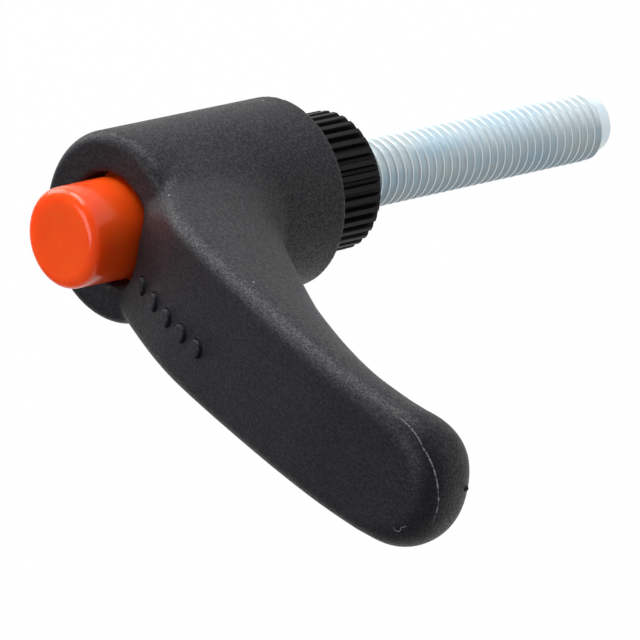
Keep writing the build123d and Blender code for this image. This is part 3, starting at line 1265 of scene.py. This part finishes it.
@dataclass
class SerratedInsert:
    """Toothed insert with a chamfered lower rim and a smooth neck."""

    teeth: int = 36
    crest: float = 9.7
    tooth_depth: float = 0.75
    crest_share: float = 0.44
    floor_share: float = 0.36
    height: float = 20.0
    chamfer: float = 1.3
    hole: float = 5.03
    neck: float = 4.25
    neck_top: float = 34.0
    screw_hole: float = 2.51
    samples: int = 20
    corner_softness: float = 0.35
    countersink: float = 0.5
    neck_chamfer: float = 0.4
    screw_depth: float = 11.0
    stud_hole: float = 4.51
    stud_hole_top: float = 14.0
    no_limit: float = 99.0
    rim_steps: tuple[Span, ...] = ((-0.5, 0.0), (-0.08, 0.0), (0.05, 0.06))

    def tooth_outline(self) -> tuple[np.ndarray, np.ndarray]:
        """Go round the teeth, with rounded corners.

        Returns:
            Angles and radii.
        """
        count, soft = self.teeth * self.samples, self.corner_softness
        angle = np.arange(count) * 2 * math.pi / count
        tooth = np.arange(count) / self.samples
        place = np.abs(tooth - np.round(tooth)) * 2
        share = np.clip((1 - self.floor_share - place) / (1 - self.floor_share - self.crest_share), 0, 1)
        share = share * share * (3 - 2 * share) * soft + share * (1 - soft)
        return angle, self.crest - self.tooth_depth * (1 - share)

    def build(self) -> list[bpy.types.Object]:
        """Build the insert.

        Returns:
            The insert, dressed and riding on the base.
        """
        angle, radius = self.tooth_outline()
        count, rim, screw_end = len(angle), self.crest - self.chamfer, self.neck_top - self.screw_depth
        rows = [(self.hole, self.countersink), (self.hole, 0.0)]
        rows += [(rim + across, up) for across, up in self.rim_steps]
        for share in np.linspace(0.12, 0.96, 9):
            rows.append((rim + share * self.chamfer, share * self.chamfer))
        flank = np.linspace(self.chamfer, self.height - self.tooth_depth, 12)
        rows += [(self.no_limit, z) for z in flank]
        for share in (0.3, 0.6, 1.0):
            level = self.height - (1 - share) * self.tooth_depth
            rows.append((self.crest - share * self.tooth_depth, level))
        rows += [
            (self.neck, self.height),
            (self.neck, self.neck_top - self.neck_chamfer),
            (self.neck - self.neck_chamfer, self.neck_top),
            (self.screw_hole, self.neck_top),
            (self.screw_hole, screw_end),
            (0.0, screw_end),
            (0.0, self.stud_hole_top),
            (self.stud_hole, self.stud_hole_top),
            (self.stud_hole, self.countersink),
        ]
        points = []
        for limit, z in rows:
            size = np.minimum(radius, limit)
            points.append(np.stack([size * np.cos(angle), size * np.sin(angle), np.full(count, z)], 1))
        faces = wrapped_faces(len(rows), count, closed=True)
        piece = make_piece("serrated_collar", np.concatenate(points), faces, sharp_deg=32)
        dress(piece, BlackSteel().material(), Body.BASE)
        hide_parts("serrated_insert")
        return [piece]


@dataclass
class ThreadedStud:
    """Stud with a rolled thread, an end chamfer and a plain pilot."""

    radius: float = 5.0
    pitch: float = 1.5
    depth: float = 0.80
    start: float = 0.45
    tip: float = -50.3
    pilot: float = 3.95
    pilot_length: float = 2.0
    chamfer: float = 1.0
    columns: int = 96
    run_in: float = 1.3
    core: float = 4.05
    shank: float = 4.4
    shank_top: float = 12.5
    tip_round: float = 0.55
    profile: tuple[Span, ...] = (
        (0.00, 0.0), (0.05, 0.0), (0.10, 0.10), (0.16, 0.30), (0.25, 0.58), (0.34, 0.86), (0.40, 0.97),
        (0.50, 1.0), (0.60, 0.97), (0.66, 0.86), (0.75, 0.58), (0.84, 0.30), (0.90, 0.10), (0.95, 0.0),
    )

    def build(self) -> list[bpy.types.Object]:
        """Build the stud.

        Returns:
            Its thread and its core, dressed and riding on the base.
        """
        shoulder = self.tip + self.pilot_length
        turns = int((self.start - shoulder) / self.pitch) + 3
        phase = np.array([turn + share for turn in range(turns) for share, _ in self.profile])
        drop = np.array([level for _ in range(turns) for _, level in self.profile]) * self.depth
        share = np.arange(self.columns) / self.columns
        z = shoulder - self.run_in * self.pitch + self.pitch * (phase[:, None] + share)
        size = np.broadcast_to(self.radius - drop[:, None], z.shape)
        cone = np.maximum(z - shoulder, 0) * (self.radius - self.pilot) / self.chamfer
        size = np.minimum(size, self.pilot + 0.02 + cone)
        z = np.clip(z, shoulder, self.start)
        angle = share * 2 * math.pi
        points = np.stack([size * np.cos(angle), size * np.sin(angle), z], -1).reshape(-1, 3)
        faces = wrapped_faces(len(phase), self.columns, closed=False, rise=len(self.profile))
        thread = make_piece("stud_thread", points, faces, sharp_deg=60)
        outline = [
            (0.0, self.shank_top),
            (self.shank, self.shank_top),
            (self.shank, 0.4),
            (self.core, 0.3),
            (self.core, shoulder + 0.5),
            (self.pilot, shoulder),
            *arc((self.pilot - self.tip_round, self.tip + self.tip_round), self.tip_round, 0, -90, 8),
            (0.0, self.tip),
        ]
        shank = make_piece("stud_core", *turned(outline, 96))
        zinc = ZincPlate().material()
        for piece in (thread, shank):
            dress(piece, zinc, Body.BASE)
        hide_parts("threaded_stud")
        return [thread, shank]


class InnerPieces:
    """Screw, washers and spring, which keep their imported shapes."""

    def build(self) -> list[bpy.types.Object]:
        """Give the inner pieces their finishes.

        Returns:
            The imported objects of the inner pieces.
        """
        zinc, wire = ZincPlate().material(), DrawnWire().material()
        finishes = {
            "retaining_screw": zinc,
            "retaining_washer": zinc,
            "thrust_washer": zinc,
            "return_spring": wire,
        }
        pieces = []
        for name, finish in finishes.items():
            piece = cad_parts[name]
            piece.data.materials.clear()
            piece.data.materials.append(finish)
            pieces.append(piece)
        return pieces


def dress(piece: bpy.types.Object, finish: bpy.types.Material, body: Body) -> None:
    """Give a piece its finish and the body that it rides on.

    Args:
        piece: Piece to dress.
        finish: Material to show.
        body: Body that carries the piece.
    """
    piece.data.materials.clear()
    piece.data.materials.append(finish)
    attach(piece, body.value)


# ---- studio ------------------------------------------------------------------------------------


@dataclass(frozen=True)
class Lamp:
    """One soft area lamp.

    Its direction from the object is given in the camera's own axes. At level 1 it looks white.
    """

    name: str
    right: float
    up: float
    toward: float
    distance: float
    size: float
    level: float


@dataclass
class Studio:
    """Camera, lamps, pale floor and surroundings."""

    azimuth: float = 123.9
    elevation: float = 42.3
    roll: float = -103.26
    distance: float = 1.0271
    lens: float = 421.9
    aim_offset: tuple[float, float, float] = (-0.02296, -0.0151, 0.00503)
    floor_gap: float = 0.03
    ambient: float = 0.48
    mirrored: float = 0.16
    floor_half: float = 4.0
    floor_colour: Colour = (0.8, 0.8, 0.8)
    floor_glow: float = 0.97
    lamps: tuple[Lamp, ...] = (
        Lamp("left_softbox", -0.85, 0.0, 0.75, 0.80, 0.50, 3.7),
        Lamp("overhead_softbox", -0.2, 1.0, 0.2, 0.80, 0.50, 8.0),
        Lamp("rear_softbox", -0.65, 0.65, -0.3, 0.80, 0.50, 4.5),
    )

    def axes(self) -> tuple[Vector, Vector, Vector]:
        """Work out the camera's own axes.

        Returns:
            Directions to the camera's right, to its top and towards it.
        """
        a, e, r = (math.radians(v) for v in (self.azimuth, self.elevation, self.roll))
        back = Vector((math.sin(a) * math.cos(e), -math.cos(a) * math.cos(e), math.sin(e)))
        right = Vector((0, 0, 1)).cross(back).normalized()
        up = back.cross(right)
        return right * math.cos(r) + up * math.sin(r), up * math.cos(r) - right * math.sin(r), back

    def aim(self) -> Vector:
        """Point that the camera looks at."""
        return (CAD_BOX[0] + CAD_BOX[1]) / 2 + Vector(self.aim_offset)

    def add_camera(self) -> None:
        """Place the camera at its viewing angle."""
        data = bpy.data.cameras.new("camera")
        data.lens, data.sensor_width = self.lens, 36.0
        data.clip_start, data.clip_end = 0.01, 20.0
        camera = bpy.data.objects.new("camera", data)
        bpy.context.scene.collection.objects.link(camera)
        right, up, back = self.axes()
        turn = Matrix((right, up, back)).transposed().to_4x4()
        camera.matrix_world = Matrix.Translation(self.aim() + back * self.distance) @ turn
        bpy.context.scene.camera = camera

    def add_lamps(self) -> None:
        """Place the soft lamps around the object."""
        right, up, back = self.axes()
        for lamp in self.lamps:
            data = bpy.data.lights.new(lamp.name, "AREA")
            data.shape, data.size = "SQUARE", lamp.size
            data.energy = lamp.level * math.pi * lamp.size**2
            way = (right * lamp.right + up * lamp.up + back * lamp.toward).normalized()
            item = bpy.data.objects.new(lamp.name, data)
            item.location = self.aim() + way * lamp.distance
            item.rotation_mode = "QUATERNION"
            item.rotation_quaternion = (-way).to_track_quat("-Z", "Y")
            bpy.context.scene.collection.objects.link(item)

    def add_floor(self) -> None:
        """Lay the pale floor under the stud's tip."""
        z, w = CAD_BOX[0].z - self.floor_gap, self.floor_half
        mesh = bpy.data.meshes.new("floor")
        mesh.from_pydata([(-w, -w, z), (w, -w, z), (w, w, z), (-w, w, z)], [], [(0, 1, 2, 3)])
        floor = bpy.data.objects.new("floor", mesh)
        bpy.context.scene.collection.objects.link(floor)
        tree = ShaderTree(bpy.data.materials.new("pale_floor"))
        shown, mirrored, through = (
            tree.node("ShaderNodeLightPath", output=f"Is {ray} Ray")
            for ray in ("Camera", "Glossy", "Transmission")
        )
        rays = shown + mirrored + through
        seen = tree.node("ShaderNodeMath", {"operation": "MINIMUM"}, {0: rays, 1: 1.0})
        plain = tree.node("ShaderNodeBsdfDiffuse", inputs={"Color": (*self.floor_colour, 1)})
        white = tree.node("ShaderNodeEmission", inputs={"Color": (1, 1, 1, 1), "Strength": 1.0})
        mixed = tree.node("ShaderNodeMixShader", inputs={0: seen * self.floor_glow, 1: plain, 2: white})
        mesh.materials.append(tree.close(mixed))

    def add_surroundings(self) -> None:
        """Set the even light of the surroundings, white where the camera sees it."""
        tree = ShaderTree(bpy.data.worlds.new("surroundings"))
        shares = {"Camera": 1.0, "Transmission": 1.0, "Glossy": self.mirrored, "Diffuse": self.ambient}
        level: Value = 0.0
        for ray, share in shares.items():
            level = level + tree.node("ShaderNodeLightPath", output=f"Is {ray} Ray") * share
        backdrop = tree.node("ShaderNodeBackground", inputs={"Color": (1, 1, 1, 1), "Strength": level})
        bpy.context.scene.world = tree.close(backdrop, "ShaderNodeOutputWorld")

    def build(self) -> None:
        """Set up the whole studio."""
        bpy.context.scene.view_settings.view_transform = "Standard"
        self.add_camera()
        self.add_lamps()
        self.add_floor()
        self.add_surroundings()


def main() -> None:
    """Build every sub-assembly."""
    logging.basicConfig(level=logging.INFO, format="%(name)s: %(message)s")
    Studio().build()
    for assembly in (ThreadedStud(), SerratedInsert(), PushButton(), LeverMoulding(), InnerPieces()):
        maker = type(assembly).__name__
        for piece in assembly.build():
            LOG.info("%s: %s with %d faces", maker, piece.name, len(piece.data.polygons))


if __name__ == "__main__":
    main()
